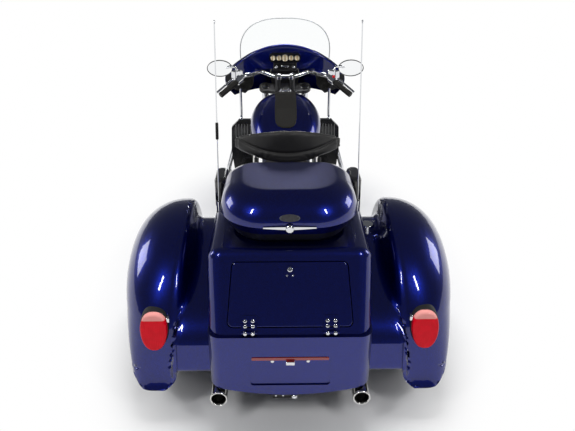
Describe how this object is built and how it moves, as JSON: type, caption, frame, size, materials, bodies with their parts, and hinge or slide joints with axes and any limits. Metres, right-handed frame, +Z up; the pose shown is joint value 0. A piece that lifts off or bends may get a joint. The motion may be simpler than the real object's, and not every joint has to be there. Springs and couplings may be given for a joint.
{
  "type": "motor trike",
  "caption": "Touring motorcycle with two rear wheels under a wide body with boot door, top box, fenders, fairing, windscreen and steered front wheel.",
  "frame": {"origin": "on the floor below the middle of the bounding box", "axes": "+Y forward, +X to the rider's right, +Z up"},
  "size_m": [1.4658, 2.6829, 1.6178],
  "materials": {
    "black_plastic": "matt",
    "black_steel": "satin",
    "cast_alloy": "satin",
    "chrome": "polished",
    "clear_lens": "clear",
    "disc_steel": "brushed",
    "paint": "gloss metallic",
    "red_lens": "gloss",
    "screen": "clear",
    "tyre": "matt",
    "vinyl": "satin"
  },
  "bodies": {
    "chassis": {"aerials": "chrome", "axle_housing": "black_steel", "backrest": "vinyl", "backrest_bracket": "black_steel", "body_shell": "paint", "boot_floor": "black_plastic", "boot_hinge_fixed": "chrome", "bumper": "paint", "crash_bars": "chrome", "dash": "paint", "drive_shaft": "black_steel", "engine_covers": "chrome", "engine_crankcase": "cast_alloy", "engine_cylinders": "cast_alloy", "exhausts": "chrome", "fairing": "paint", "fenders": "paint", "filler_cap": "chrome", "floorboards": "black_plastic", "frame": "black_steel", "fuel_tank": "paint", "headlamp": "clear_lens", "instruments": "black_plastic", "lower_fairings": "paint", "passenger_seat": "vinyl", "plate_reflector": "red_lens", "quarter_panels": "paint", "radiator": "black_steel", "rear_calipers": "black_steel", "rider_seat": "vinyl", "side_covers": "paint", "speaker_pods": "paint", "spring_units": "black_steel", "swing_arms": "black_steel", "tail_lamps": "red_lens", "tank_console": "black_plastic", "topbox_base": "black_plastic", "topbox_hinge_lugs": "chrome", "windscreen": "screen"},
    "steering": {"triple_clamps": "chrome", "fork_legs": "chrome", "front_axle": "chrome", "handlebar": "chrome", "grips": "black_plastic", "hand_controls": "chrome", "mirrors": "chrome", "front_fender": "paint", "front_calipers": "chrome"},
    "front_wheel": {"front_discs": "disc_steel", "front_rim": "cast_alloy", "front_tyre": "tyre"},
    "rear_wheel_left": {"rear_rim_left": "cast_alloy", "rear_tyre_left": "tyre"},
    "rear_wheel_right": {"rear_rim_right": "cast_alloy", "rear_tyre_right": "tyre"},
    "boot_door": {"boot_door": "paint", "boot_fittings": "chrome"},
    "topbox_lid": {"lid_hinges": "chrome", "topbox_latch": "chrome", "topbox_lid": "paint"}
  },
  "joints": [
    {"name": "steering", "type": "hinge", "parent": "chassis", "child": "steering", "pos_m": [0, 0.69045, 0.85], "axis": [0, -0.4879, 0.8729], "range_deg": [-36, 36]},
    {"name": "front_wheel_spin", "type": "hinge", "parent": "steering", "child": "front_wheel", "pos_m": [0, 1.0185, 0.323], "axis": [1, 0, 0], "continuous": true},
    {"name": "rear_wheel_left_spin", "type": "hinge", "parent": "chassis", "child": "rear_wheel_left", "pos_m": [-0.575, -0.7215, 0.324], "axis": [1, 0, 0], "continuous": true},
    {"name": "rear_wheel_right_spin", "type": "hinge", "parent": "chassis", "child": "rear_wheel_right", "pos_m": [0.575, -0.7215, 0.324], "axis": [1, 0, 0], "continuous": true},
    {"name": "boot_door_hinge", "type": "hinge", "parent": "chassis", "child": "boot_door", "pos_m": [0, -1.31093, 0.5], "axis": [1, 0, 0], "range_deg": [0, 105]},
    {"name": "topbox_lid_hinge", "type": "hinge", "parent": "chassis", "child": "topbox_lid", "pos_m": [0, -0.6635, 0.888], "axis": [-1, 0, 0], "range_deg": [0, 55]}
  ]
}
